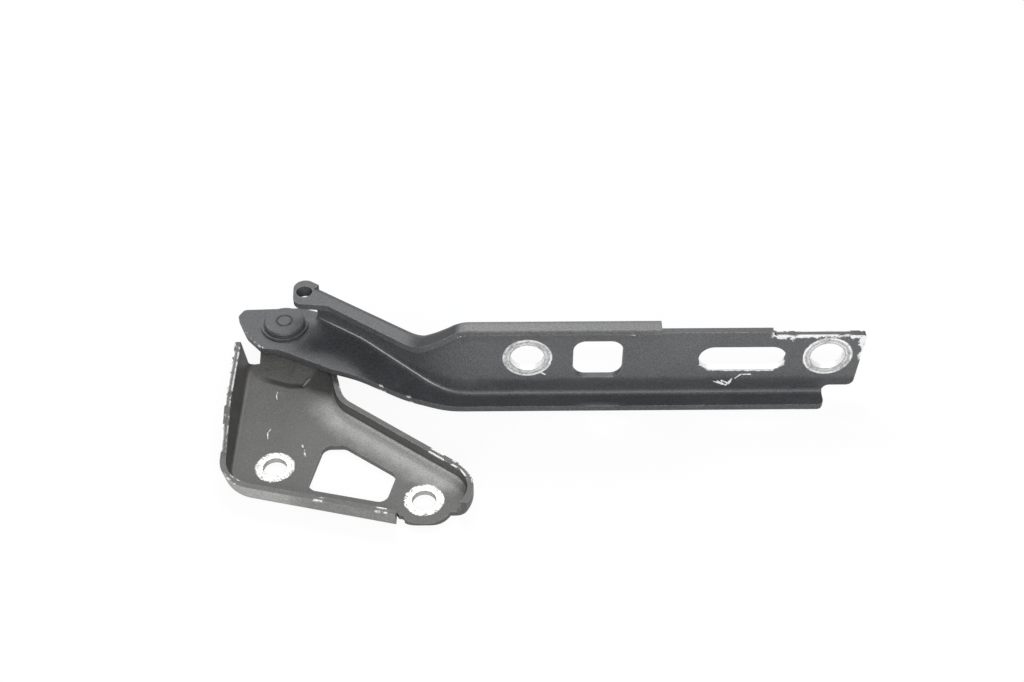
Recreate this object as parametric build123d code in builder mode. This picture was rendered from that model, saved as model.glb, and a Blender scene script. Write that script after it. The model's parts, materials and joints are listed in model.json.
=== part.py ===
from build123d import *
from math import acos, atan2, cos, degrees, hypot, radians, sin
import os

os.makedirs("parts", exist_ok=True)

# The hinge lies on its mounting face: the body bracket's back is z = 0 and the pivot axis is +Z.
# The origin is midway between the bracket's two bolt holes, and +X runs along the arm's straight part.

# Body bracket, pressed from sheet
bracket_t = 2.5
bracket_bend = 1.5
rim_height = 8.5
rim_corner_r = 16.5
bolt_spacing = 66.0
bolt_line_angle = -16.4
body_bolt_d = 10.0
stop_margin = 20.1
stop_height = 13.0
stop_slope_start = 10.0
stop_slope_end = 39.0
stop_lean = 3.4
stop_end_y = 71.5
stop_tip_overhang = 3.5
bottom_margin = 18.2
bottom_angle = -13.65
bottom_rim_end = 20.6
end_offset = (4.6, 2.3)
end_r = 15.8
upper_rim_angle = 143.0
neck_top = (-8.8, 58.0)
neck_angle = 104.3
neck_corner_r = 13.0
neck_rim_end = 62.0
tab_r = 12.7
tab_relief_w = 3.4
tab_relief_depth = 3.0
tab_step_x = 43.0
stop_relief_w = 3.4
stop_relief_y = 68.8

# Trapezoid window in the bracket, its corners going round from the top left
window_corners = [(-12.0, 21.2), (-17.4, -3.0), (15.9, -10.8), (19.8, 4.6), (-2.9, 21.3)]
window_r = 4.0

# Pivot stack, from the back of the bracket to the formed head
pivot = (-34.0, 85.6)
pivot_d = 10.0
running_clearance = 0.04
axial_play = 0.05
seat_tip_r = 13.5
seat_rise = 6.5
rear_head_d = 16.0
rear_head_t = 3.3
bush_d = 12.0
bush_flange_d = 20.0
bush_flange_t = 1.0
head_d = 18.5
head_t = 1.9
head_edge = 0.7
crater_outer_d = 8.0
crater_inner_d = 5.6
crater_depth = 0.45
washer_d = 21.0
washer_t = 1.1

# Ramp up to the pivot seat, in three facets: a point and an angle on the foot of each, and its run
ramp_left = (-38.7, 60.3, -19.5)
ramp_middle = (-27.0, 57.2, 3.0)
ramp_right = (-23.5, 56.4, -21.0)
ramp_runs = [14.0, 14.0, 19.0]

# Bonnet arm, pressed from thicker sheet
arm_t = 3.0
arm_bend = 2.5
lip_bend = 1.5
wall_y = 51.7
wall_corner_x = 39.0
wall_corner_r = 40.0
neck_fall = 34.0
web_front_y = 43.4
crank_start_x = 1.0
crank_end_x = 42.0
crank_r = 35.0
lip_reach = 5.2
lip_height = 45.5
lip_neck_height = 30.2
lip_rise_start_x = 26.0
lip_rise_end_x = 46.0
lip_rise_r = 14.0
lip_end_x = 131.5
lip_front_corner_x = 33.7
lip_front_corner_r = 30.0
lug_end_x = -29.6
lug_front_corners = [(-28.4, 81.2), (-13.2, 79.8)]
lug_front_r = 8.0
lug_r = 5.0
lug_hole_x = -24.0
lug_hole_d = 7.2
lug_hole_setback = 4.2
lug_hole_gap = 2.5
lug_collar_d = 10.0
lug_collar_h = 2.8

# Right end of the mounting wall
wall_top = 38.6
wall_step_x = 180.0
wall_step = 2.0
wall_end_x = 220.0
wall_end_lean = 2.0
wall_end_r = 3.2
wall_tab_z = 6.8
web_end_x = 204.8
web_end_r = 3.0

# Openings in the mounting wall
bonnet_bolt_x = 75.0
bonnet_bolt_spacing = 129.6
bonnet_bolt_z = 24.4
bonnet_bolt_d = 14.5
window_x = 105.5
window_side = 21.5
window_corner_r = 5.5
slot_x = 168.0
slot_length = 38.0
slot_w = 13.5
slot_drop = 1.2

# Tip of the arm beyond the pivot, going round from the far edge
tip_corners = [(-27.0, 97.2), (-53.6, 96.2), (-55.9, 91.6), (-50.5, 79.2), (-43.0, 70.6), (-35.5, 70.0), (-10.5, 57.2), (22.0, 45.2)]
tip_radii = [2.5, 2.5, 12.0, 5.0, 8.0, 30.0, 40.0]
channel_reach = 44.0
web_corner_x = 36.0
web_corner_r = 45.0


def polar(centre, radius, angle):
    """Point at a distance and an angle in degrees from a centre."""
    return (centre[0] + radius * cos(radians(angle)), centre[1] + radius * sin(radians(angle)))


def crossing(line_a, line_b):
    """Point where two plan lines meet, each line given as a point and an angle."""
    (ax, ay), a = line_a
    (bx, by), b = line_b
    run = ((bx - ax) * sin(radians(b)) - (by - ay) * cos(radians(b))) / sin(radians(b - a))
    return polar((ax, ay), run, a)


def corners(lines, insets):
    """Corners of a counter-clockwise outline whose edges are each moved inwards by an inset."""
    moved = [(polar(point, inset, angle + 90), angle) for (point, angle), inset in zip(lines, insets)]
    return [crossing(edge, moved[(i + 1) % len(moved)]) for i, edge in enumerate(moved)]


def edges_along(part, plan_line, side_line, tolerance=0.02):
    """Edges whose middle lies on a line seen from above and on a line seen from the side."""
    found = ShapeList()
    for edge in part.edges():
        middle = edge @ 0.5
        plan_gap = plan_line.distance_to(Vertex(middle.X, middle.Y, 0))
        side_gap = side_line.distance_to(Vertex(middle.X, 0, middle.Z))
        if plan_gap < tolerance and side_gap < tolerance:
            found.append(edge)
    return found


# Places that follow from the driving dimensions
bolt_1 = polar((0, 0), bolt_spacing / 2, bolt_line_angle + 180)
bolt_2 = polar((0, 0), bolt_spacing / 2, bolt_line_angle)
end_centre = (bolt_2[0] + end_offset[0], bolt_2[1] + end_offset[1])
stop_x = bolt_1[0] - stop_margin
seat_z = seat_rise + bracket_t
plate_z = seat_z + bush_flange_t
washer_z = plate_z + arm_t + axial_play
head_z = washer_z + washer_t

# Tangent from the top of the neck to the rounded seat
neck_to_pivot = (neck_top[0] - pivot[0], neck_top[1] - pivot[1])
tangent_angle = degrees(atan2(neck_to_pivot[1], neck_to_pivot[0]) + acos(seat_tip_r / hypot(*neck_to_pivot)))
seat_tangent = polar(pivot, seat_tip_r, tangent_angle)

# Body bracket
seat_far_y = pivot[1] + seat_tip_r
tray_lines = [
    ((stop_x, 0), -90),
    (polar(bolt_1, bottom_margin, bottom_angle - 90), bottom_angle),
    (polar(end_centre, end_r, -90), 0),
    (polar(end_centre, end_r, 0), 90),
    (polar(end_centre, end_r, upper_rim_angle - 90), upper_rim_angle),
    (neck_top, neck_angle),
    (seat_tangent, tangent_angle + 90),
    ((0, seat_far_y), 180),
]


def tray_block(floor_z, inset):
    """Block on the tray's plan, moved inwards by an inset, from a floor up and with its left side leaning out."""
    insets = [inset - stop_lean] + [inset] * (len(tray_lines) - 1)
    radii = [0, 0, end_r - inset, end_r - inset, neck_corner_r + inset, 0, 0, 0]
    with BuildPart() as block:
        with BuildSketch(Plane.XY.offset(floor_z)):
            with BuildLine():
                FilletPolyline(corners(tray_lines, insets), radius=radii, close=True)
            make_face()
        extrude(amount=stop_height - floor_z)
        with BuildSketch(Plane.XZ):
            with BuildLine():
                Polyline(
                    (stop_x + inset, 0),
                    (stop_x + inset - stop_lean, stop_height),
                    (stop_x - end_r, stop_height),
                    (stop_x - end_r, 0),
                    close=True,
                )
            make_face()
        extrude(amount=2 * bolt_spacing, both=True, mode=Mode.SUBTRACT)
        steep = block.edges().filter_by(lambda e: abs((e @ 0).Z - (e @ 1).Z) > bracket_bend)
        fillet(steep.sort_by(Axis.X)[:2].sort_by(Axis.Y)[0], radius=rim_corner_r - inset)
    return block.part


# Tray with a wall all round
with BuildPart() as hollow:
    add(tray_block(bracket_t, bracket_t))
    fillet(hollow.edges().group_by(Axis.Z)[0], radius=bracket_bend)

# Plan of the seat round the pivot and the neck that carries it
root_x = stop_x + bracket_t + bracket_bend
relief_x = root_x + stop_relief_w
with BuildSketch() as seat_plan:
    with BuildLine():
        Polyline(
            (root_x, bolt_1[1]),
            (neck_top[0], bolt_1[1]),
            neck_top,
            seat_tangent,
            pivot,
            (relief_x, pivot[1]),
            (relief_x, stop_relief_y),
            (root_x, stop_relief_y),
            close=True,
        )
    make_face()
    with Locations(pivot):
        Circle(seat_tip_r)

# Raised form of the ramp and seat, used above the sheet and again below it
ramp_lines = [((x, y), angle) for x, y, angle in (ramp_left, ramp_middle, ramp_right)]
ramp_lines += [
    ((bolt_2[0], 0), 90),
    ((0, seat_far_y + seat_tip_r), 180),
    ((root_x, 0), -90),
]


def ramp_plan(height, runs):
    """Plan of the ramp at a height, its facets moved in by their runs."""
    with BuildSketch(Plane.XY.offset(height)) as plan:
        with BuildLine():
            Polyline(*corners(ramp_lines, runs + [0, 0, 0]), close=True)
        make_face()
    return plan.sketch


with BuildPart() as ramp:
    add(ramp_plan(bracket_t, [0, 0, 0]))
    add(ramp_plan(seat_z, ramp_runs))
    loft(ruled=True)

with BuildPart() as raised_seat:
    add(ramp.part)
    add(seat_plan.sketch)
    extrude(amount=seat_z, mode=Mode.INTERSECT)

# Hollow under the raised form, which leaves the rim along the neck whole
with BuildPart() as under_seat:
    add(ramp.part.moved(Location((0, 0, -bracket_t))))
    with BuildSketch() as inside_rim:
        with BuildLine():
            Polyline(*corners(tray_lines, [bracket_t] * len(tray_lines)), close=True)
        make_face()
        with Locations((stop_x, neck_rim_end)):
            Rectangle(2 * bolt_spacing, 2 * bolt_spacing, align=Align.MIN)
    extrude(amount=seat_z, mode=Mode.INTERSECT)

# Side shape of the stop flange and of the low rim that the other walls are cut to
with BuildPart() as rim_trim:
    with BuildSketch(Plane.YZ.offset(stop_x - end_r)) as stop_side:
        with BuildLine():
            Polyline(
                (bolt_2[1] - 2 * end_r, rim_height),
                (stop_slope_start, rim_height),
                (stop_slope_end, stop_height),
                (stop_slope_end, 2 * stop_height),
                (bolt_2[1] - 2 * end_r, 2 * stop_height),
                close=True,
            )
        make_face()
    extrude(amount=2 * end_r)
    with BuildSketch(Plane.YZ.offset(stop_x + end_r)) as low_side:
        with Locations((pivot[1] / 2, rim_height + stop_height)):
            Rectangle(4 * pivot[1], 2 * stop_height)
    extrude(amount=2 * bolt_spacing)

# What is cut off outside the seat, above the sheet round it, and beyond the stop flange's slanted end
with BuildPart() as seat_trim:
    with BuildSketch() as seat_surround:
        with Locations((root_x, stop_relief_y)):
            Rectangle(4 * bolt_spacing, 2 * bolt_spacing, align=Align.MIN)
        with Locations((pivot[0], neck_rim_end)):
            Rectangle(4 * bolt_spacing, 2 * bolt_spacing, align=Align.MIN)
        add(seat_plan.sketch, mode=Mode.SUBTRACT)
    extrude(amount=2 * stop_height)
    with BuildSketch(Plane.XY.offset(bracket_t)) as above_neck:
        with Locations((relief_x, neck_rim_end)):
            Rectangle(2 * bolt_spacing, 2 * bolt_spacing, align=Align.MIN)
    extrude(amount=2 * stop_height)
    with BuildSketch(Plane.YZ.offset(stop_x - end_r)) as stop_end_side:
        with BuildLine():
            Polyline(
                (stop_end_y, 0),
                (stop_end_y, bracket_t),
                (stop_end_y + stop_tip_overhang, stop_height),
                (stop_end_y + stop_tip_overhang, 2 * stop_height),
                (stop_end_y + 2 * bolt_spacing, 2 * stop_height),
                (stop_end_y + 2 * bolt_spacing, 0),
                close=True,
            )
        make_face()
    extrude(amount=root_x - stop_x + end_r)

with BuildPart() as tab_trim:
    with BuildSketch() as tab_surround:
        with BuildLine():
            Polyline(
                (bottom_rim_end, bolt_2[1]),
                (bottom_rim_end, bolt_2[1] - 2 * end_r),
                (tab_step_x + end_r, bolt_2[1] - 2 * end_r),
                (tab_step_x + end_r, bolt_2[1] - tab_r / 2),
                (tab_step_x, bolt_2[1] - tab_r / 2),
                close=True,
            )
        make_face()
        with Locations(bolt_2):
            Circle(tab_r, mode=Mode.SUBTRACT)
    extrude(amount=stop_height)

with BuildPart() as body_bracket:
    add(tray_block(0, 0))
    fillet(body_bracket.edges().group_by(Axis.Z)[0], radius=bracket_bend + bracket_t)
    add(hollow.part, mode=Mode.SUBTRACT)
    add(rim_trim.part, mode=Mode.SUBTRACT)
    add(seat_trim.part, mode=Mode.SUBTRACT)
    add(tab_trim.part, mode=Mode.SUBTRACT)

    # The rim is left off round the end bolt, where the sheet is a flat tab
    with BuildSketch(Plane.XY.offset(bracket_t)) as tab_clear:
        with BuildLine():
            Polyline(
                (bottom_rim_end, bolt_2[1]),
                (bottom_rim_end, bolt_2[1] - 2 * end_r),
                (tab_step_x, bolt_2[1] - 2 * end_r),
                (tab_step_x, bolt_2[1]),
                close=True,
            )
        make_face()
    extrude(amount=stop_height, mode=Mode.SUBTRACT)
    with BuildSketch() as tab_relief:
        with Locations((bottom_rim_end + tab_relief_w / 2, bolt_2[1] - tab_r)):
            SlotOverall(2 * tab_relief_depth + tab_relief_w, tab_relief_w, rotation=90)
    extrude(amount=bracket_t, mode=Mode.SUBTRACT)

    # Ramp and pivot seat, pressed up with the sheet's thickness kept in height
    add(raised_seat.part)
    add(under_seat.part, mode=Mode.SUBTRACT)

    # Window and holes
    with BuildSketch() as body_window:
        with BuildLine():
            FilletPolyline(*window_corners, radius=window_r, close=True)
        make_face()
        with Locations(bolt_1, bolt_2):
            Circle(body_bolt_d / 2)
        with Locations(pivot):
            Circle(pivot_d / 2)
    extrude(amount=2 * stop_height, mode=Mode.SUBTRACT)

# Plan lines of the arm's mounting wall, which runs down the neck and then straight
neck_slope = -sin(radians(neck_fall)) / cos(radians(neck_fall))
neck_normal = (sin(radians(neck_fall)), cos(radians(neck_fall)))


def wall_line(start_x, set_back):
    """Plan line along the wall, set back from its front face, from a place on the neck to the right end."""
    neck_point = (start_x, wall_y + neck_slope * (start_x - wall_corner_x))
    start = (neck_point[0] + set_back * neck_normal[0], neck_point[1] + set_back * neck_normal[1])
    corner = crossing((start, -neck_fall), ((wall_corner_x, wall_y + set_back), 0))
    with BuildLine() as line:
        FilletPolyline(start, corner, (wall_end_x, wall_y + set_back), radius=[wall_corner_r - set_back])
    return line.line


def strip_plan(start_x, front, back):
    """Plan of a strip along the wall, between two distances behind its front face."""
    front_line = wall_line(start_x, front)
    back_line = wall_line(start_x, back)
    with BuildSketch() as plan:
        with BuildLine():
            add(front_line)
            add(back_line)
            Line(front_line @ 0, back_line @ 0)
            Line(front_line @ 1, back_line @ 1)
        make_face()
    return plan.sketch


def web_line(rise):
    """Side line of the web's crank, at a height above its underside."""
    points = [
        (tip_corners[2][0] - arm_t, plate_z + rise),
        (crank_start_x, plate_z + rise),
        (crank_end_x, rise),
        (wall_end_x, rise),
    ]
    with BuildLine(Plane.XZ) as line:
        FilletPolyline(*points, radius=crank_r)
    return line.line


def lip_line(drop):
    """Side line of the lip, at a depth below its top."""
    points = [
        (tip_corners[2][0] - arm_t, lip_neck_height - drop),
        (lip_rise_start_x, lip_neck_height - drop),
        (lip_rise_end_x, lip_height - drop),
        (wall_end_x, lip_height - drop),
    ]
    with BuildLine(Plane.XZ) as line:
        FilletPolyline(*points, radius=lip_rise_r)
    return line.line


def band_side(lower, upper):
    """Side shape between two side lines."""
    with BuildSketch(Plane.XZ) as side:
        with BuildLine(Plane.XZ):
            add(lower)
            add(upper)
            Line(lower @ 0, upper @ 0)
            Line(lower @ 1, upper @ 1)
        make_face()
    return side.sketch


# Hole in the lug at the lip's end, in front of the wall, which starts just past it
neck_front_y = wall_y + neck_slope * (lug_hole_x - wall_corner_x)
lug_hole = (lug_hole_x, neck_front_y - lug_hole_setback / neck_normal[1])
wall_start_x = lug_hole_x + lug_hole_setback * neck_normal[0] + lug_hole_gap * neck_normal[1]
front_line = wall_line(wall_start_x, 0)
back_line = wall_line(wall_start_x, arm_t)
lug_back_y = (back_line @ 0).Y + neck_slope * (lug_end_x - (back_line @ 0).X)
wall_middle_y = wall_y + arm_t / 2

# Plan of the web: the tip round the pivot, the tapering neck and the narrow straight flange
with BuildSketch() as web_plan:
    with BuildLine():
        FilletPolyline(
            *tip_corners,
            (web_corner_x, web_front_y),
            (web_end_x, web_front_y),
            (web_end_x, wall_middle_y),
            radius=tip_radii + [web_corner_r, web_end_r],
        )
        Polyline((web_end_x, wall_middle_y), (wall_corner_x, wall_middle_y), back_line @ 0, tip_corners[0])
    make_face()
    add(strip_plan(wall_start_x, 0, arm_t))

# Plan of the lip: it is wider down the neck and ends in the lug
with BuildSketch() as lip_plan:
    with BuildLine():
        FilletPolyline(
            back_line @ 0,
            (lug_end_x, lug_back_y),
            *lug_front_corners,
            (lip_front_corner_x, wall_y - lip_reach),
            (lip_end_x, wall_y - lip_reach),
            radius=[lug_r, lug_r, lug_front_r, lip_front_corner_r],
        )
        Polyline(
            (lip_end_x, wall_y - lip_reach),
            (lip_end_x, wall_middle_y),
            (wall_corner_x, wall_middle_y),
            back_line @ 0,
        )
    make_face()
    add(strip_plan(wall_start_x, 0, arm_t))

# The web lies below the split and the lip above it
lip_split_z = (plate_z + lip_neck_height) / 2
with BuildPart() as sheet_plans:
    extrude(web_plan.sketch, amount=lip_split_z)
    extrude(lip_plan.sketch.moved(Location((0, 0, lip_split_z))), amount=lip_height)
    extrude(strip_plan(wall_start_x, 0, arm_t), amount=lip_height)

# Outside and inside of the pressed channel, whose bends are the edges of two blocks
with BuildPart() as outside:
    add(strip_plan(wall_start_x, -channel_reach, arm_t))
    extrude(amount=lip_height)
    extrude(band_side(web_line(0), lip_line(0)), amount=2 * pivot[1], both=True, mode=Mode.INTERSECT)
    fillet(edges_along(outside, back_line, web_line(0)), radius=arm_bend + arm_t)
    fillet(edges_along(outside, back_line, lip_line(0)), radius=lip_bend + arm_t)

with BuildPart() as inside:
    add(strip_plan(wall_start_x, -channel_reach, 0))
    extrude(amount=lip_height)
    extrude(band_side(web_line(arm_t), lip_line(arm_t)), amount=2 * pivot[1], both=True, mode=Mode.INTERSECT)
    fillet(edges_along(inside, front_line, web_line(arm_t)), radius=arm_bend)
    fillet(edges_along(inside, front_line, lip_line(arm_t)), radius=lip_bend)

# Shape of the wall's right end and its stepped top beyond the lip, as material to cut away
wall_low_end_x = wall_end_x - wall_end_lean
with BuildPart() as wall_trim:
    with BuildSketch(Plane.XZ) as wall_surround:
        with Locations((lip_end_x + wall_end_x, lip_height / 2)):
            Rectangle(2 * wall_end_x, 2 * lip_height)
        with BuildLine():
            FilletPolyline(
                (lip_end_x - lip_height, 0),
                (web_end_x, 0),
                (web_end_x, wall_tab_z),
                (wall_low_end_x, wall_tab_z),
                (wall_end_x, wall_top - wall_step),
                (wall_step_x, wall_top - wall_step),
                (wall_step_x, wall_top),
                (lip_end_x - lip_height, wall_top),
                radius=[0, lip_bend, wall_end_r, wall_end_r, lip_bend, lip_bend, 0, 0],
                close=True,
            )
        make_face(mode=Mode.SUBTRACT)
    extrude(amount=2 * pivot[1], both=True)

# Flat tip round the pivot, and the half of the lug that reaches past the wall
with BuildPart() as past_wall:
    extrude(web_plan.sketch.moved(Location((0, 0, plate_z))), amount=arm_t)
    extrude(lip_plan.sketch.moved(Location((0, 0, lip_neck_height - arm_t))), amount=arm_t)
    with BuildSketch() as beyond_start:
        with Locations(Location(front_line @ 0, (0, 0, -neck_fall))):
            Rectangle(channel_reach, 2 * channel_reach, align=(Align.MAX, Align.CENTER))
    extrude(amount=lip_height, mode=Mode.INTERSECT)

# Collar drawn down round the lug's hole
lug_collar_z = lip_neck_height - arm_t - lug_collar_h
with BuildPart() as lug_collar:
    with BuildSketch(Plane.XY.offset(lug_collar_z)) as collar_ring:
        with Locations(lug_hole):
            Circle(lug_collar_d / 2)
    extrude(amount=lug_collar_h + arm_t / 2)

# Openings through the mounting wall, and the holes for the bush and the lug's rod
bonnet_bolts = [(bonnet_bolt_x, bonnet_bolt_z), (bonnet_bolt_x + bonnet_bolt_spacing, bonnet_bolt_z)]
with BuildPart() as arm_openings:
    with BuildSketch(Plane.XZ) as wall_openings:
        with Locations(*bonnet_bolts):
            Circle(bonnet_bolt_d / 2)
        with Locations((window_x, bonnet_bolt_z - slot_drop)):
            RectangleRounded(window_side, window_side, window_corner_r)
        with Locations((slot_x, bonnet_bolt_z - slot_drop)):
            SlotOverall(slot_length, slot_w)
    extrude(amount=2 * pivot[1], both=True)
    with BuildSketch() as bush_seat:
        with Locations(pivot):
            Circle(bush_d / 2)
    extrude(amount=lip_split_z)
    with BuildSketch(Plane.XY.offset(lug_collar_z)) as lug_opening:
        with Locations(lug_hole):
            Circle(lug_hole_d / 2)
    extrude(amount=lip_height)

with BuildPart() as bonnet_arm:
    # Channel pressed to its plan
    add(outside.part)
    add(inside.part, mode=Mode.SUBTRACT)
    add(sheet_plans.part, mode=Mode.INTERSECT)
    add(past_wall.part)
    add(lug_collar.part)
    add(wall_trim.part, mode=Mode.SUBTRACT)
    add(arm_openings.part, mode=Mode.SUBTRACT)

# Flanged bush pressed into the arm from below, which turns on the rivet
with BuildPart() as pivot_bush:
    with BuildSketch(Plane.XY.offset(seat_z)) as flange_ring:
        with Locations(pivot):
            Circle(bush_flange_d / 2)
    extrude(amount=bush_flange_t)
    with BuildSketch(Plane.XY.offset(plate_z)) as sleeve_ring:
        with Locations(pivot):
            Circle(bush_d / 2)
    extrude(amount=arm_t)
    with BuildSketch(Plane.XY.offset(seat_z)) as bush_bore:
        with Locations(pivot):
            Circle(pivot_d / 2 + running_clearance)
    extrude(amount=bush_flange_t + arm_t, mode=Mode.SUBTRACT)

# Washer under the formed head
with BuildPart() as head_washer:
    with BuildSketch(Plane.XY.offset(washer_z)) as washer_ring:
        with Locations(pivot):
            Circle(washer_d / 2)
            Circle(pivot_d / 2 + running_clearance, mode=Mode.SUBTRACT)
    extrude(amount=washer_t)

# Rivet turned about the pivot, with a ring pressed into its formed head
head_top = head_z + head_t
with BuildPart() as pivot_rivet:
    with BuildSketch(Plane.XZ) as rivet_side:
        with BuildLine():
            Polyline(
                (0, seat_rise - rear_head_t),
                (rear_head_d / 2, seat_rise - rear_head_t),
                (rear_head_d / 2, seat_rise),
                (pivot_d / 2, seat_rise),
                (pivot_d / 2, head_z),
                (head_d / 2, head_z),
                (head_d / 2, head_top - head_edge),
                (head_d / 2 - head_edge, head_top),
                (crater_outer_d / 2, head_top),
                ((crater_outer_d + crater_inner_d) / 4, head_top - crater_depth),
                (crater_inner_d / 2, head_top),
                (0, head_top),
                close=True,
            )
        make_face()
    revolve(axis=Axis.Z)
    pivot_rivet.part = pivot_rivet.part.moved(Location(pivot))

pieces = {
    "body_bracket": body_bracket,
    "bonnet_arm": bonnet_arm,
    "pivot_rivet": pivot_rivet,
    "pivot_bush": pivot_bush,
    "head_washer": head_washer,
}
for name, piece in pieces.items():
    piece.part.label = name
    export_step(piece.part, f"parts/{name}.step")
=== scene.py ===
import json
from collections import namedtuple
from math import cos, radians, sin

import bmesh
import bpy
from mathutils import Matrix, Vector

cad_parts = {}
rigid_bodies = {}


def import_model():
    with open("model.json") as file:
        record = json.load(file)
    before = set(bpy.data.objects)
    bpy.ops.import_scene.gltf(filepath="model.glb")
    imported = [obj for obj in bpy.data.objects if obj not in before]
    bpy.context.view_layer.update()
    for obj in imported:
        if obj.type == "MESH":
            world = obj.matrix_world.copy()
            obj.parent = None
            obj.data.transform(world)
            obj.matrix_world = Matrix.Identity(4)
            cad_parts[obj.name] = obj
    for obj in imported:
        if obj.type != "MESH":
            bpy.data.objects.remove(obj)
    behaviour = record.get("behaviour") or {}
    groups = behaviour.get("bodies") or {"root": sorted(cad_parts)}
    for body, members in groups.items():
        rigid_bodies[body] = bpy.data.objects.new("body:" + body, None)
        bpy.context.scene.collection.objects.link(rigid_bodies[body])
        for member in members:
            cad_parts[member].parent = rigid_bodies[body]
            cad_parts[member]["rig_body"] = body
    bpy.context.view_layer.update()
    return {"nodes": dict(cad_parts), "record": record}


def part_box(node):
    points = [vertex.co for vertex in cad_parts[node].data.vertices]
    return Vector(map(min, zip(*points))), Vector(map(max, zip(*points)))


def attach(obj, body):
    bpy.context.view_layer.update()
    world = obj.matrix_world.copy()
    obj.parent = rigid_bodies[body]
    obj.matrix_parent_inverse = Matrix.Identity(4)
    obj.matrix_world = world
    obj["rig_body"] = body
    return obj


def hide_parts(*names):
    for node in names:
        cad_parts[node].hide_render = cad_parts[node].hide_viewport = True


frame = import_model()

# Places and sizes on the part are in millimetres in its frame, and become metres on the way into Blender.
MM = 0.001

record = frame["record"]
mounts = {mount["name"]: mount for mount in record["mounts"]}
body_middle_x, body_middle_y, _ = (at / MM for at in mounts["body_bolts"]["pos_m"])
bonnet_middle_x, _, bonnet_middle_z = (at / MM for at in mounts["bonnet_bolts"]["pos_m"])
body_holes = mounts["body_bolts"]["dims"]
bonnet_holes = mounts["bonnet_bolts"]["dims"]
_, arm_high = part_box("bonnet_arm")


def bolt_pair(middle_u, middle_v, spacing, angle):
    """The places of two bolts on a line at an angle through their middle, in the two axes of a face."""
    du, dv = spacing / 2 * cos(angle), spacing / 2 * sin(angle)
    return [(middle_u - du, middle_v - dv), (middle_u + du, middle_v + dv)]


# The bracket
BODY_BOLT_LINE = radians(-16.4)
BODY_BOLTS = bolt_pair(body_middle_x, body_middle_y, body_holes["pcd_mm"], BODY_BOLT_LINE)
BODY_HOLE_R = body_holes["hole_r_mm"]
BODY_RING_R = 8.25
PLATE_TOP = 2.5
RIM_TOP = 8.5

# The arm, whose wall steps down a little near its right end
BONNET_BOLTS = bolt_pair(bonnet_middle_x, bonnet_middle_z, bonnet_holes["spacing_x_mm"], 0.0)
BONNET_HOLE_R = bonnet_holes["hole_r_mm"]
BONNET_RING_R = 10.5
LIP_TOP = arm_high.z / MM
WALL_FRONT = 51.7
WALL_END_X = arm_high.x / MM
STEP_X = 180.0
STEP_TOP = 36.6
SLOT_LEFT_X = 149.0
SLOT_RIGHT_X = 187.0
SLOT_FLOOR = 16.45

# Marks on the bracket, in x and y
PLATE_SCRATCHES = [
    [(-35.2, 53.6), (-35.4, 51.2), (-34.9, 49.3)],
    [(-35.7, 31.4), (-36.9, 28.9), (-36.4, 25.4)],
]
DOTTED_SCRATCH = [(-21.3, 21.7), (-20.2, 18.8), (-19.5, 15.2)]
# The ramp's crest, with a painted highlight, and the crease at its base, with painted shade.
RAMP_RIDGE = [(-24.0, 57.2), (-21.4, 60.2)]
RAMP_CREASE = [(-47.0, 63.3), (-38.7, 60.2), (-29.7, 57.0), (-24.4, 57.0)]
# The ramp's right slope, where a painted shadow of the arm lies.
FACET_CORNER = (-23.5, 56.0)
FACET_LOWER_SLOPE = 0.38
FACET_LEFT_SLOPE = 0.78
FACET_LEFT_X = -68.1
FACET_RIGHT_X = -11.1
FLANGE_X = -51.0
FLANGE_CORNER = (FLANGE_X, 0.0)
FRONT_RIM = [(-53.0, 6.0), (-47.0, -4.5), (18.0, -21.0)]
FRONT_RIM_CHIPS = [[(-15.8, -11.5), (-11.2, -12.6)], [(14.4, -19.8), (16.4, -20.3)]]
RIGHT_RIM_CHIPS = [(33.0, 12.8), (39.0, 8.8), (45.7, 5.5), (50.1, -5.1)]
RIGHT_RIM_FOOT = [(-7.0, 50.0), (-1.0, 42.0), (41.0, 9.0), (49.0, -2.0)]
NECK_RIM_CHIPS = [(-7.0, 55.0), (-5.0, 48.0), (0.0, 41.5)]
# Along the plate beside the right rim lies a painted highlight.
HIGHLIGHT_STRIP = [(-7.0, 48.0), (-1.0, 39.5), (40.5, 7.0)]

# Marks on the arm's wall, in x and z
WALL_SCRATCHES = [
    [(156.8, 9.4), (161.0, 7.5), (160.1, 10.0), (163.6, 7.9), (164.6, 11.2)],
    [(158.4, 9.6), (162.2, 6.9), (163.6, 9.4)],
    [(165.9, 11.2), (168.3, 13.6), (172.3, 13.6)],
    [(80.5, 16.0), (82.6, 14.4)],
    [(45.5, 37.2), (49.5, 38.6), (54.5, 38.8)],
    [(116.8, 38.0), (120.6, 37.7)],
]
SLOT_LOWER_EDGE = [(150.4, 19.9), (154.0, 16.9), (160.0, 16.4), (181.5, 16.4), (185.6, 19.4)]
LIP_CHIPS = [(48.0, 40.0), (119.0, 38.6)]

# Marks on the arm's web, in x and y
WEB_CHIPS = [(12.0, 49.0), (24.0, 44.6)]
TIP_EDGE = [(-51.0, 80.0), (-43.0, 70.6)]

BRACKET_COAT = (0.058, 0.057, 0.054)
BRACKET_FADED = (0.080, 0.078, 0.072)
ARM_COAT = (0.040, 0.042, 0.047)
ARM_FADED = (0.056, 0.058, 0.064)
PALE_FLECK = (0.14, 0.14, 0.14)
DARK_FLECK = (0.01, 0.01, 0.01)
SCUFFED_COAT = (0.20, 0.20, 0.20)
DUST_SPECK = (0.33, 0.33, 0.32)
RUBBED_EDGE = (0.30, 0.30, 0.29)
# The next colour serves both dusty patches and painted highlights, and the one after it is painted shade.
PALE_DUST_AND_HIGHLIGHT = (0.58, 0.575, 0.55)
PAINTED_SHADE_BLACK = (0.012, 0.012, 0.012)
DULL_STEEL = (0.30, 0.30, 0.29)
BRIGHT_STEEL = (0.84, 0.84, 0.83)
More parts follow.
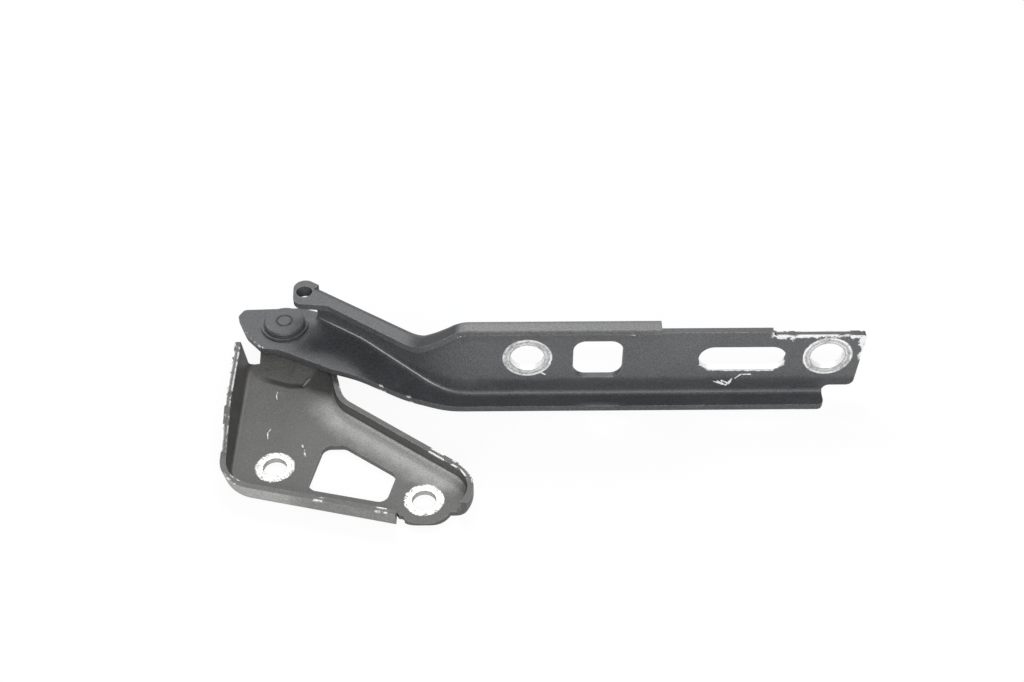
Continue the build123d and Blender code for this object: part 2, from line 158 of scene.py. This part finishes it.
# The chalky colour also paints a highlight along the ramp's crest.
CHALKY_CHIP_AND_HIGHLIGHT = (0.88, 0.88, 0.87)
DULL_BRONZE = (0.36, 0.25, 0.12)
CLEAN_BRONZE = (0.52, 0.39, 0.2)


class Signal:
    """What comes out of a shader socket. Python's operators on it add Math nodes."""

    def __init__(self, shader, socket):
        self.shader = shader
        self.socket = socket

    def __add__(self, other):
        return self.shader.maths("ADD", self, other)

    def __sub__(self, other):
        return self.shader.maths("SUBTRACT", self, other)

    def __rsub__(self, other):
        return self.shader.maths("SUBTRACT", other, self)

    def __mul__(self, other):
        return self.shader.maths("MULTIPLY", self, other)

    def __pow__(self, other):
        return self.shader.maths("POWER", self, other)

    __radd__ = __add__
    __rmul__ = __mul__


class Shader:
    """The emptied node tree of a material or world, and what adds nodes to it."""

    def __init__(self, owner):
        owner.use_nodes = True
        self.nodes = owner.node_tree.nodes
        self.links = owner.node_tree.links
        self.nodes.clear()

    def node(self, kind, settings=None, sockets=None, out=None):
        """Adds a node with its settings, then its sockets' values or links, and gives one of its outputs."""
        node = self.nodes.new(kind)
        for key, value in (settings or {}).items():
            setattr(node, key, value)
        inputs = {socket.identifier: socket for socket in node.inputs}
        for key, value in (sockets or {}).items():
            if isinstance(value, Signal):
                self.links.new(value.socket, inputs[key])
            else:
                inputs[key].default_value = value
        outputs = {socket.identifier: socket for socket in node.outputs}
        return Signal(self, outputs[out] if out else next(iter(node.outputs), None))

    def maths(self, operation, *values):
        """A Math node on one or two signals or numbers."""
        names = ("Value", "Value_001")
        return self.node("ShaderNodeMath", {"operation": operation}, dict(zip(names, values)))

    def least(self, signals):
        """The smallest of several distances."""
        smallest = signals[0]
        for signal in signals[1:]:
            smallest = self.maths("MINIMUM", smallest, signal)
        return smallest

    def most(self, *signals):
        """The strongest of several masks, or the largest of several distances."""
        strongest = signals[0]
        for signal in signals[1:]:
            strongest = self.maths("MAXIMUM", strongest, signal)
        return strongest


class Finish(Shader):
    """A material under construction, with the part's own millimetres as its coordinates."""

    def __init__(self, name):
        self.material = bpy.data.materials.new(name)
        super().__init__(self.material)
        metres = self.node("ShaderNodeTexCoord", out="Object")
        scaled = {"Vector": metres, "Scale": 1 / MM}
        self.place = self.node("ShaderNodeVectorMath", {"operation": "SCALE"}, scaled)
        self.x, self.y, self.z = (
            self.node("ShaderNodeSeparateXYZ", {}, {"Vector": self.place}, axis) for axis in "XYZ"
        )
        self.normal = self.node("ShaderNodeNewGeometry", out="Normal")

    def fade(self, value, start, end):
        """0 before start and 1 after end, or the other way round where end is the smaller."""
        low, high, flip = (start, end, False) if start < end else (end, start, True)
        ends = {"To Min": 1.0, "To Max": 0.0} if flip else {"To Min": 0.0, "To Max": 1.0}
        sockets = {"Value": value, "From Min": low, "From Max": high, **ends}
        return self.node("ShaderNodeMapRange", {"interpolation_type": "SMOOTHSTEP"}, sockets, "Result")

    def band(self, value, middle, outer, inner):
        """1 where the value is within inner of the middle, falling to 0 where it is outer away."""
        return self.fade(self.maths("ABSOLUTE", value - middle), outer, inner)

    def noise(self, size, detail, roughness, seed, stretch=(1, 1, 1)):
        """Cloudy noise in blotches about size millimetres across, drawn out along an axis by stretch."""
        scale = tuple(1 / (size * s) for s in stretch)
        mapping = {"Vector": self.place, "Location": (seed, seed, seed), "Scale": scale}
        place = self.node("ShaderNodeMapping", {}, mapping)
        sockets = {"Vector": place, "Scale": 1.0, "Detail": detail, "Roughness": roughness}
        return self.node("ShaderNodeTexNoise", {}, sockets, "Fac")

    def blend(self, mask, colour_a, colour_b):
        """Colour a where the mask is 0 and colour b where it is 1."""
        sockets = {"Factor_Float": mask, "A_Color": rgb(colour_a), "B_Color": rgb(colour_b)}
        return self.node("ShaderNodeMix", {"data_type": "RGBA"}, sockets, "Result_Color")

    def mix(self, mask, value_a, value_b):
        """Value a where the mask is 0 and value b where it is 1."""
        return value_a + mask * (value_b - value_a)

    def agreement(self, direction_a, direction_b):
        """1 where two directions are the same, 0 where they are square and -1 where they are opposite."""
        sockets = {"Vector": direction_a, "Vector_001": direction_b}
        return self.node("ShaderNodeVectorMath", {"operation": "DOT_PRODUCT"}, sockets, "Value")

    def facing(self, direction):
        """How squarely the surface faces a direction."""
        return self.agreement(self.normal, direction)

    def edges(self, radius):
        """1 on sharp edges, falling to 0 a radius away, from the difference that a rounding would make."""
        rounded = self.node("ShaderNodeBevel", {"samples": 6}, {"Radius": radius * MM})
        return self.fade(1 - self.agreement(rounded, self.normal), 0.01, 0.16)

    def reach(self, points, plane):
        """Distance in millimetres from the nearest of several points, in the two axes of a face."""
        u, v = (getattr(self, axis) for axis in plane)
        return self.least([((v - b) ** 2 + (u - a) ** 2) ** 0.5 for a, b in points])

    def stroke(self, start, end, plane):
        """Distance in millimetres from a straight line, in the two axes of a face."""
        (ax, ay), (bx, by) = start, end
        dx, dy = bx - ax, by - ay
        length = (dx * dx + dy * dy) ** 0.5
        u, v = (getattr(self, axis) for axis in plane)
        along = (u - ax) * (dx / length) + (v - ay) * (dy / length)
        across = (u - ax) * (-dy / length) + (v - ay) * (dx / length)
        past = self.most(0 - along, along - length, 0.0)
        return (past ** 2 + across ** 2) ** 0.5

    def path(self, points, plane):
        """Distance in millimetres from a line that bends at its points."""
        return self.least([self.stroke(start, end, plane) for start, end in zip(points, points[1:])])

    def paths(self, lines, plane):
        """Distance in millimetres from the nearest of several lines."""
        return self.least([self.path(points, plane) for points in lines])

    def shade(self, colour, roughness, metallic, height, lift):
        """The surface shader, embossed by a height that lifts it by up to lift millimetres."""
        bump = self.node("ShaderNodeBump", {}, {"Height": height, "Distance": MM * lift, "Strength": 1.0})
        sockets = {"Base Color": colour, "Roughness": roughness, "Metallic": metallic, "Normal": bump}
        surface = self.node("ShaderNodeBsdfPrincipled", {}, sockets)
        self.node("ShaderNodeOutputMaterial", {}, {"Surface": surface})
        return self.material


def rgb(colour):
    """A colour as a socket takes it, from a signal or from three numbers."""
    return colour if isinstance(colour, Signal) else (*colour, 1.0)


# The masks of a piece's own marks and painted light: bare steel, chalky chipping with a painted highlight,
# edges that chip more, dusty patches with painted highlights, and painted shade.
WearAndLight = namedtuple("WearAndLight", "bare chalk chipped dust dirt")


def black_coat(name, own_wear_and_light, black, faded, seed):
    """Satin black dip coat, with its bare and chipped places, dusty patches, painted highlights and painted
    shade.
    """
    coat = Finish(name)
    cloud = coat.noise(26.0, 4.0, 0.6, seed=seed)
    grain = coat.noise(0.6, 2.0, 0.7, seed=seed + 3)
    fleck = coat.fade(grain, 0.38, 0.62)
    specks = coat.fade(coat.noise(0.9, 2.0, 0.6, seed=seed + 7), 0.68, 0.78)
    scuffs = coat.fade(coat.noise(2.6, 5.0, 0.7, seed=seed + 11, stretch=(3, 1, 1)), 0.58, 0.74)
    wear_and_light = own_wear_and_light(coat)

    # The coat goes first from the edges, in ragged patches that come and go along them.
    ragged = coat.noise(1.3, 5.0, 0.8, seed=seed + 19)
    patches = coat.fade(coat.noise(7.0, 3.0, 0.6, seed=seed + 29), 0.36, 0.58)
    rub = coat.edges(0.9) * coat.fade(ragged, 0.40, 0.60) * (patches * 0.7 + 0.3)
    chips_and_highlight = coat.edges(2.0) * coat.fade(ragged + wear_and_light.chipped * patches * 0.36, 0.66, 0.72)
    # Chalky marks, a painted highlight among them, join the chipped edges.
    chips_and_highlight = coat.most(chips_and_highlight, wear_and_light.chalk)

    colour = coat.blend(coat.fade(cloud, 0.35, 0.7), black, faded)
    # Dusty patches and painted highlights take the pale colour.
    colour = coat.blend(wear_and_light.dust * (fleck * 0.4 + 0.8), colour, PALE_DUST_AND_HIGHLIGHT)
    colour = coat.blend(fleck * 0.30, colour, PALE_FLECK)
    colour = coat.blend((1 - fleck) * 0.30, colour, DARK_FLECK)
    colour = coat.blend(scuffs * 0.22, colour, SCUFFED_COAT)
    colour = coat.blend(specks * 0.40, colour, DUST_SPECK)
    colour = coat.blend(rub * 0.55, colour, RUBBED_EDGE)
    # Painted shade and painted dark reflections.
    colour = coat.blend(wear_and_light.dirt, colour, PAINTED_SHADE_BLACK)
    swirl = coat.fade(coat.noise(0.9, 5.0, 0.8, seed=seed + 23), 0.36, 0.60)
    colour = coat.blend(wear_and_light.bare, colour, coat.blend(swirl, DULL_STEEL, BRIGHT_STEEL))
    colour = coat.blend(chips_and_highlight, colour, CHALKY_CHIP_AND_HIGHLIGHT)

    stripped = coat.most(wear_and_light.bare, chips_and_highlight)
    coated = 0.38 + cloud * 0.12 + grain * 0.10 + wear_and_light.dust * 0.15 + wear_and_light.dirt * 0.2
    roughness = coat.mix(stripped, coated, 0.42)
    metallic = wear_and_light.bare * 0.5 + chips_and_highlight * 0.15
    height = grain * 0.5 + cloud * 0.3 - stripped * 0.8
    return coat.shade(colour, roughness, metallic, height, lift=0.06)


def bracket_wear_and_light(coat):
    """Rings left by the body bolts, the plate's scratches, the knocked rim, dusty patches, painted
    highlights and painted shade.
    """
    wobble = coat.noise(2.2, 4.0, 0.7, seed=41) - 0.5
    slow = coat.noise(7.0, 3.0, 0.6, seed=43) - 0.5
    low = coat.fade(coat.z, PLATE_TOP + 0.6, PLATE_TOP + 0.3)

    # Under the bolt heads the steel is bright, with flakes of coat left towards the ring's edge.
    radius = coat.reach(BODY_BOLTS, "xy")
    ring = coat.fade(radius + wobble * 1.8 + slow * 0.8, BODY_RING_R + 0.35, BODY_RING_R - 0.35) * low
    bore = coat.fade(radius, BODY_HOLE_R + 0.12, BODY_HOLE_R + 0.04) * low
    flakes = coat.fade(coat.noise(1.0, 5.0, 0.8, seed=47), 0.50, 0.62)
    flakes = flakes * coat.fade(radius + slow * 3, BODY_HOLE_R + 0.6, BODY_RING_R + 0.35)

    # Scratches on the plate, a painted highlight along the ramp's crest, and a scratch that the wobble
    # breaks into dots.
    cut = coat.fade(coat.paths(PLATE_SCRATCHES, "xy") + wobble * 1.2, 0.26, 0.02) * low * 0.8
    ridge_highlight = coat.fade(coat.path(RAMP_RIDGE, "xy"), 0.45, 0.1) * 0.22
    gaps = coat.fade(wobble, -0.04, 0.12) * 2
    dots = coat.fade(coat.path(DOTTED_SCRATCH, "xy") + gaps, 0.55, 0.15) * low * 0.6

    flange = coat.fade(coat.x, FLANGE_X, FLANGE_X - 2.0) * coat.fade(coat.z, 7.0, 10.0)
    corner = coat.fade(coat.reach([FLANGE_CORNER], "xy"), 12.0, 6.0) * 0.5
    front_rim = coat.fade(coat.paths(FRONT_RIM_CHIPS, "xy"), 3.5, 1.0)
    right_rim = coat.fade(coat.path(RIGHT_RIM_CHIPS, "xy"), 4.0, 1.5)
    neck_rim = coat.fade(coat.path(NECK_RIM_CHIPS, "xy"), 4.0, 1.5) * 0.6

    # Dust lies on the rim's outer face, more to the left, with painted sheen where that face looks forward,
    # and a painted highlight lies along the plate beside the right rim.
    outer_face = coat.fade(coat.facing((-0.25, -0.97, 0.0)), -0.2, 0.7)
    rim_dust_and_sheen = coat.fade(coat.path(FRONT_RIM, "xy"), 5.0, 2.5) * outer_face
    rim_dust_and_sheen = rim_dust_and_sheen * (coat.fade(coat.x + slow * 16, -14.0, -30.0) * 0.36 + 0.28)
    plate_highlight = coat.fade(coat.path(HIGHLIGHT_STRIP, "xy") + slow * 5 + wobble * 4, 17.0, 4.0)
    plate_highlight = plate_highlight * coat.fade(coat.z, PLATE_TOP + 1.2, PLATE_TOP + 0.6) * coat.fade(coat.y, 56.0, 34.0)
    rim_foot = coat.fade(coat.path(RIGHT_RIM_FOOT, "xy"), 7.0, 5.0)
    rim_foot = rim_foot * coat.fade(coat.z, PLATE_TOP + 0.5, PLATE_TOP + 1.2)
    inner_dust = rim_foot * coat.fade(coat.z, RIM_TOP - 0.1, RIM_TOP - 0.9) * 0.06

    # Painted shade lies along the crease at the ramp's base, a painted shadow of the arm on the ramp's right
    # slope, and painted shade in the right rim's inner fold.
    crease_shade = coat.fade(coat.path(RAMP_CREASE, "xy") + slow * 1.2, 1.8, 0.5)
    crease_shade = crease_shade * coat.fade(coat.x, -47.0, -36.0)
    corner_x, corner_y = FACET_CORNER
    facet_shadow = coat.fade((coat.y - corner_y) + (coat.x - corner_x) * FACET_LOWER_SLOPE, -0.4, 0.6)
    facet_shadow = facet_shadow * coat.fade(coat.x - coat.y * FACET_LEFT_SLOPE, FACET_LEFT_X - 0.5, FACET_LEFT_X + 0.5)
    facet_shadow = facet_shadow * coat.fade(coat.x, FACET_RIGHT_X + 0.5, FACET_RIGHT_X - 0.5)
    facet_shadow = facet_shadow * coat.fade(coat.z, PLATE_TOP - 0.1, PLATE_TOP + 0.3)
    # Painted shade in the right rim's inner fold.
    painted_light_in_bend = rim_foot * coat.fade(coat.z, PLATE_TOP + 2.5, PLATE_TOP + 1.2) * 0.3

    return WearAndLight(
        bare=ring * (1 - flakes * 0.9) * (1 - bore),
        chalk=coat.most(cut, dots, ridge_highlight),
        chipped=coat.most(flange, corner, front_rim, right_rim, neck_rim),
        dust=coat.most(rim_dust_and_sheen, plate_highlight * 0.82, bore * 0.75, inner_dust),
        dirt=coat.most(crease_shade * 0.9, facet_shadow * 0.42, painted_light_in_bend),
    )


def arm_wear_and_light(coat):
    """Rings left by the bonnet bolts, the rubbed slot, the wall's scratches and the knocked right end, with
    painted highlights and painted reflections on the lip, wall and fillet.
    """
    wobble = coat.noise(2.4, 5.0, 0.75, seed=53) - 0.5
    slow = coat.noise(8.0, 3.0, 0.6, seed=59) - 0.5
    forwards = coat.facing((0.0, -1.0, 0.0))
    front = coat.fade(coat.y, WALL_FRONT + 0.4, WALL_FRONT + 0.2) * coat.fade(forwards, 0.7, 0.9)

    # The washers left a dull ring, and in it two brighter, broken arcs.
    radius = coat.reach(BONNET_BOLTS, "xz")
    ring = coat.fade(radius + wobble * 1.6 + slow * 1.2, BONNET_RING_R + 0.3, BONNET_RING_R - 0.3) * front
    smear = radius + wobble * 1.7 + slow * 1.2
    outer = coat.band(smear, BONNET_RING_R - 0.2, 0.7, 0.2)
    inner = coat.band(smear, BONNET_RING_R - 2.1, 0.5, 0.1) * 0.7
    arcs = coat.most(outer, inner) * front * coat.fade(slow + wobble, -0.14, 0.08)
    bore = coat.fade(radius, BONNET_HOLE_R + 0.2, BONNET_HOLE_R + 0.1) * 0.9

    # The wall's front is scratched, and the slot is rubbed along its lower edge and floor.
    scratches = coat.fade(coat.paths(WALL_SCRATCHES, "xz") + wobble * 1.6, 0.5, 0.1)
    slot_edge = coat.fade(coat.path(SLOT_LOWER_EDGE, "xz") + wobble * 3.0, 1.0, 0.3)
    marks = coat.most(scratches, slot_edge * 0.85) * front
    slot_floor = coat.fade(coat.x, SLOT_LEFT_X - 0.5, SLOT_LEFT_X + 0.5)
    slot_floor = slot_floor * coat.fade(coat.x, SLOT_RIGHT_X + 0.5, SLOT_RIGHT_X - 0.5)
    slot_floor = slot_floor * coat.fade(coat.z + wobble * 3, 21.5, 20.0)
    slot_floor = slot_floor * coat.fade(coat.z, SLOT_FLOOR - 0.45, SLOT_FLOOR - 0.25)
    slot_floor = slot_floor * coat.fade(coat.y, WALL_FRONT + 0.1, WALL_FRONT + 0.3)

    step = coat.fade(coat.x, STEP_X - 2.0, STEP_X + 2.0) * coat.fade(coat.z, 33.0, 35.0)
    end = coat.fade(coat.x, WALL_END_X - 5.4, WALL_END_X - 2.4) * coat.fade(coat.z, 20.0, 24.0)
    lip = coat.fade(coat.reach(LIP_CHIPS, "xz"), 4.5, 2.0) * 0.6
    tip = coat.fade(coat.path(TIP_EDGE, "xy"), 3.0, 1.0) * 0.7
    web = coat.fade(coat.reach(WEB_CHIPS, "xy"), 3.2, 1.0) * 0.7

    # On the front of the right end, the coat is lost in a ragged line along the top and down the end.
    ragged = wobble * 12 + slow * 10
    top_loss = coat.fade(STEP_TOP - coat.z + ragged, 0.8, 0.4)
    top_loss = top_loss * coat.fade(coat.x, STEP_X - 1.5, STEP_X + 0.5) * front
    end_loss = coat.fade(WALL_END_X - coat.x + ragged, 1.6, 1.2) * coat.fade(coat.z, 21.0, 26.0) * front

    # A painted highlight lies on the lip's top, a painted pale reflection on the upper wall, a painted dark
    # reflection along the wall's lower part, and a painted highlight along the fillet below it.
    lip_highlight = coat.fade(coat.z, LIP_TOP - 1.5, LIP_TOP - 0.5) * 0.23
    wall_reflection = coat.fade(coat.z + slow * 3, 9.5, 13.5) * coat.fade(forwards, 0.4, 0.95) * 0.075
    # A painted highlight along the fillet between wall and web.
    painted_light_in_bend = coat.band(coat.facing((0.0, 0.0, 1.0)), 0.70, 0.11, 0.03)
    painted_light_in_bend = painted_light_in_bend * coat.fade(coat.facing((-0.3, -1.0, 0.0)), 0.15, 0.4)
    painted_light_in_bend = painted_light_in_bend * (coat.fade(coat.x, 46.0, 28.0) * 0.80 + 0.08) * coat.fade(coat.x, -22.0, -8.0)
    # A painted dark reflection along the wall's lower part.
    wall_foot_shade = coat.fade(coat.z + slow * 3, 13.0, 10.5) * coat.fade(coat.z, 6.0, 8.0)
    wall_foot_shade = wall_foot_shade * coat.fade(coat.x, 48.0, 62.0) * front * 0.22

    return WearAndLight(
        bare=ring * 0.6,
        chalk=coat.most(arcs * 0.9, marks, slot_floor, bore, top_loss * 0.8, end_loss * 0.8),
        chipped=coat.most(step, end, lip, tip, web),
        dust=coat.most(wall_reflection, lip_highlight, painted_light_in_bend),
        dirt=wall_foot_shade,
    )


def plain_wear(coat):
    """No marks of its own beyond what every edge shows."""
    nothing = coat.x * 0.0
    return WearAndLight(bare=nothing, chalk=nothing, chipped=nothing, dust=nothing, dirt=nothing)


def bush_bronze():
    """Plain bearing bronze, faintly turned."""
    metal = Finish("bush bronze")
    turned = metal.noise(0.3, 2.0, 0.5, seed=5, stretch=(20, 20, 1))
    dull = metal.noise(4.0, 4.0, 0.6, seed=9)
    colour = metal.blend(dull, DULL_BRONZE, CLEAN_BRONZE)
    return metal.shade(colour, dull * 0.2 + 0.3, 1 - dull * 0.3, turned, lift=0.02)


rivet_coat = black_coat("rivet coat", plain_wear, ARM_COAT, ARM_FADED, 57.0)
finishes = {
    "body_bracket": black_coat("bracket coat", bracket_wear_and_light, BRACKET_COAT, BRACKET_FADED, 2.0),
    "bonnet_arm": black_coat("arm coat", arm_wear_and_light, ARM_COAT, ARM_FADED, 31.0),
    "pivot_rivet": rivet_coat,
    "head_washer": rivet_coat,
    "pivot_bush": bush_bronze(),
}

WELD_GAP = 0.002
SHARP_ANGLE = radians(28)


def dressed(node, finish):
    """A copy of a CAD node with its facets joined, so bends shade smoothly and sheared edges stay crisp."""
    mesh = frame["nodes"][node].data.copy()
    shape = bmesh.new()
    shape.from_mesh(mesh)
    bmesh.ops.remove_doubles(shape, verts=shape.verts, dist=WELD_GAP * MM)
    bmesh.ops.recalc_face_normals(shape, faces=shape.faces)
    shape.to_mesh(mesh)
    shape.free()
    if "custom_normal" in mesh.attributes:
        mesh.attributes.remove(mesh.attributes["custom_normal"])
    mesh.materials.clear()
    mesh.materials.append(finish)
    mesh.shade_smooth()
    mesh.set_sharp_from_angle(angle=SHARP_ANGLE)
    piece = bpy.data.objects.new(node + "_dressed", mesh)
    bpy.context.scene.collection.objects.link(piece)
    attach(piece, frame["nodes"][node]["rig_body"])
    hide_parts(node)


for node, finish in finishes.items():
    dressed(node, finish)


# The floor, lamps and camera are placed in metres.
FLOOR_REACH = 6.0
FLOOR_Z = -0.0003
FLOOR_PAPER = (0.86, 0.86, 0.87, 1.0)
COOL_SKY = (0.95, 0.97, 1.0, 1.0)
WHITE = (1.0, 1.0, 1.0, 1.0)
CAMERA_PLACE = (0.0639, -0.4124, 0.475)
CAMERA_AIM = (0.06872, 0.08812, 0.0)
LENS_MM = 52.73
SENSOR_MM = 36.0


def stage_floor():
    """A floor that the camera sees as white paper and reflections as pale, and that keeps the shadow."""
    mesh = bpy.data.meshes.new("floor")
    corners = [(-1, -1), (1, -1), (1, 1), (-1, 1)]
    mesh.from_pydata([(x * FLOOR_REACH, y * FLOOR_REACH, FLOOR_Z) for x, y in corners], [], [(0, 1, 2, 3)])
    floor = bpy.data.objects.new("floor", mesh)
    bpy.context.scene.collection.objects.link(floor)
    material = bpy.data.materials.new("white floor")
    paper = Shader(material)
    seen = paper.node("ShaderNodeLightPath", out="Is Camera Ray")
    mirrored = paper.node("ShaderNodeLightPath", out="Is Glossy Ray")
    matt = paper.node("ShaderNodeBsdfDiffuse", {}, {"Color": FLOOR_PAPER})
    glow = paper.node("ShaderNodeEmission", {}, {"Color": WHITE, "Strength": 1.0})
    share = paper.most(seen * 0.92, mirrored * 0.80)
    surface = paper.node("ShaderNodeMixShader", {}, {"Fac": share, "Shader": matt, "Shader_001": glow})
    paper.node("ShaderNodeOutputMaterial", {}, {"Surface": surface})
    mesh.materials.append(material)


def surround():
    """A dim, faintly cool world that the camera sees as white."""
    world = bpy.data.worlds.new("studio")
    bpy.context.scene.world = world
    sky = Shader(world)
    seen = sky.node("ShaderNodeLightPath", out="Is Camera Ray")
    dim = sky.node("ShaderNodeBackground", {}, {"Color": COOL_SKY, "Strength": 0.32})
    white = sky.node("ShaderNodeBackground", {}, {"Color": WHITE, "Strength": 1.0})
    surface = sky.node("ShaderNodeMixShader", {}, {"Fac": seen, "Shader": dim, "Shader_001": white})
    sky.node("ShaderNodeOutputWorld", {}, {"Surface": surface})


def aimed(name, data, place, aim):
    """A lamp or camera as an object that looks from its place at its aim."""
    holder = bpy.data.objects.new(name, data)
    holder.location = place
    holder.rotation_euler = (Vector(aim) - Vector(place)).to_track_quat("-Z", "Y").to_euler()
    bpy.context.scene.collection.objects.link(holder)
    return holder


def softbox(name, place, aim, size, watts):
    """A flat rectangular lamp that shines from its place towards its aim."""
    lamp = bpy.data.lights.new(name, "AREA")
    lamp.shape = "RECTANGLE"
    lamp.size, lamp.size_y = size
    lamp.energy = watts
    aimed(name, lamp, place, aim)


def photo_camera():
    """The photo's viewpoint and lens."""
    lens = bpy.data.cameras.new("camera")
    lens.sensor_fit = "HORIZONTAL"
    lens.sensor_width = SENSOR_MM
    lens.lens = LENS_MM
    lens.clip_start = 0.05
    bpy.context.scene.camera = aimed("camera", lens, CAMERA_PLACE, CAMERA_AIM)


stage_floor()
surround()
softbox("back box", place=(0.05, 0.75, 0.72), aim=(0.05, 0.03, 0.0), size=(1.1, 0.5), watts=6.0)
softbox("near box", place=(0.03, 0.36, 0.40), aim=(0.03, 0.01, 0.0), size=(0.16, 0.10), watts=0.55)
softbox("front box", place=(0.1, -1.1, 0.7), aim=(0.08, 0.04, 0.0), size=(1.2, 0.6), watts=12.0)
softbox("camera box", place=(0.08, -0.5, 0.85), aim=(0.06, 0.05, 0.0), size=(0.3, 0.1), watts=2.0)
photo_camera()
bpy.context.scene.view_settings.view_transform = "Standard"
